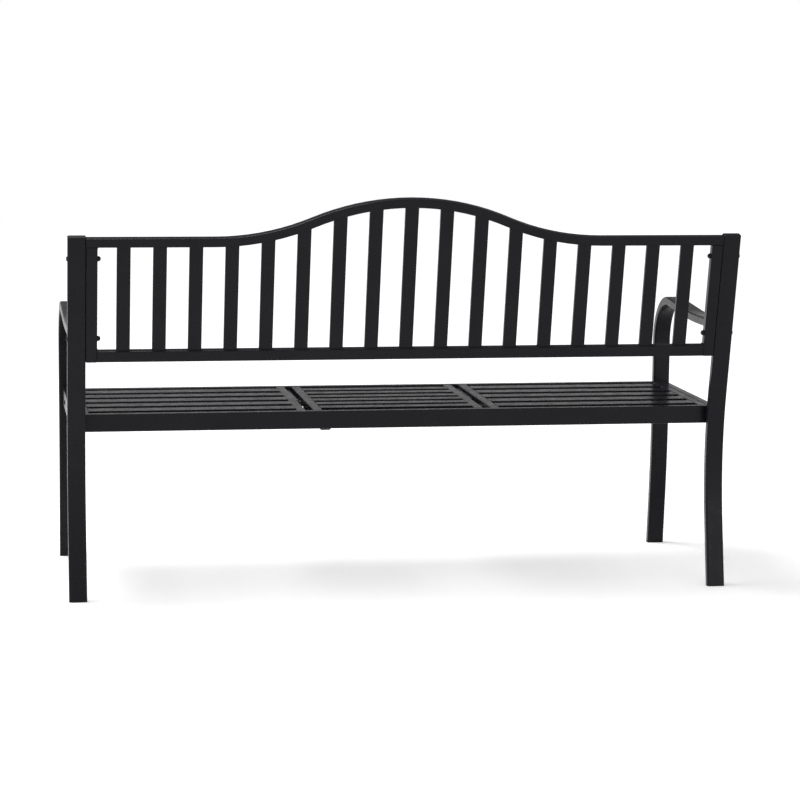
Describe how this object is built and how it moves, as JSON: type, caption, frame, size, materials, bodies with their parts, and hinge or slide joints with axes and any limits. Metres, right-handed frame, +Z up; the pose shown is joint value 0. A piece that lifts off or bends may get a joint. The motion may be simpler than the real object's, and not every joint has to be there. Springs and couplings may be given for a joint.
{
  "type": "garden bench with fold-up middle table",
  "caption": "Steel tube garden bench with slatted seat, camel-back slatted back, curved armrests and a flush middle table that lifts up on links.",
  "frame": {"origin": "middle of the bench's footprint, on the floor", "axes": "+X towards the sitter's left, -Y towards the front, +Z up"},
  "size_m": [1.505, 0.6443, 0.8993],
  "materials": {
    "powder_coat": "satin",
    "cap_plastic": "matte",
    "fastener_steel": "satin"
  },
  "bodies": {
    "frame": {"rear_post_left": "powder_coat", "armrest_leg_left": "powder_coat", "side_rail_left": "powder_coat", "back_upright_left": "powder_coat", "seat_end_rail_left": "powder_coat", "seat_inner_rail_left": "powder_coat", "seat_slats_left": "powder_coat", "rear_post_right": "powder_coat", "armrest_leg_right": "powder_coat", "side_rail_right": "powder_coat", "back_upright_right": "powder_coat", "seat_end_rail_right": "powder_coat", "seat_inner_rail_right": "powder_coat", "seat_slats_right": "powder_coat", "post_caps": "cap_plastic", "foot_caps": "cap_plastic", "upright_plugs": "cap_plastic", "back_top_rail": "powder_coat", "back_bottom_rail": "powder_coat", "back_slat_01": "powder_coat", "back_slat_02": "powder_coat", "back_slat_03": "powder_coat", "back_slat_04": "powder_coat", "back_slat_05": "powder_coat", "back_slat_06": "powder_coat", "back_slat_07": "powder_coat", "back_slat_08": "powder_coat", "back_slat_09": "powder_coat", "back_slat_10": "powder_coat", "back_slat_11": "powder_coat", "back_slat_12": "powder_coat", "back_slat_13": "powder_coat", "back_slat_14": "powder_coat", "back_slat_15": "powder_coat", "back_slat_16": "powder_coat", "back_slat_17": "powder_coat", "back_bolts": "fastener_steel", "back_nuts": "fastener_steel", "seat_front_rail": "powder_coat", "seat_rear_rail": "powder_coat", "seat_bolts": "fastener_steel", "seat_nuts": "fastener_steel", "frame_pivot_pins": "fastener_steel", "frame_spacers": "fastener_steel", "rest_tabs": "powder_coat"},
    "rear_links": {"rear_link_left": "powder_coat", "rear_link_right": "powder_coat", "link_cross_tube": "powder_coat"},
    "table": {"table_rail_left": "powder_coat", "table_rail_right": "powder_coat", "table_slats": "powder_coat", "table_hinge_plates": "powder_coat", "table_grip": "powder_coat", "stop_studs": "powder_coat", "table_pivot_pins": "fastener_steel", "table_spacers": "fastener_steel"},
    "front_link_left": {"front_link_left": "powder_coat"},
    "front_link_right": {"front_link_right": "powder_coat"}
  },
  "joints": [
    {"name": "table_lift", "type": "hinge", "parent": "frame", "child": "rear_links", "pos_m": [0, -0.1508, 0.3795], "axis": [1, 0, 0], "range_deg": [0, 97]},
    {"name": "table_level", "type": "hinge", "parent": "rear_links", "child": "table", "pos_m": [0, 0.0292, 0.3795], "axis": [1, 0, 0], "range_deg": [-97, 0]},
    {"name": "front_link_left_turn", "type": "hinge", "parent": "frame", "child": "front_link_left", "pos_m": [0.206, -0.2308, 0.3975], "axis": [1, 0, 0], "range_deg": [0, 97]},
    {"name": "front_link_right_turn", "type": "hinge", "parent": "frame", "child": "front_link_right", "pos_m": [-0.206, -0.2308, 0.3975], "axis": [1, 0, 0], "range_deg": [0, 97]}
  ],
  "couplings": [
    {"joint": "table_level", "follows": "table_lift", "ratio": -1},
    {"joint": "front_link_left_turn", "follows": "table_lift", "ratio": 1},
    {"joint": "front_link_right_turn", "follows": "table_lift", "ratio": 1}
  ]
}
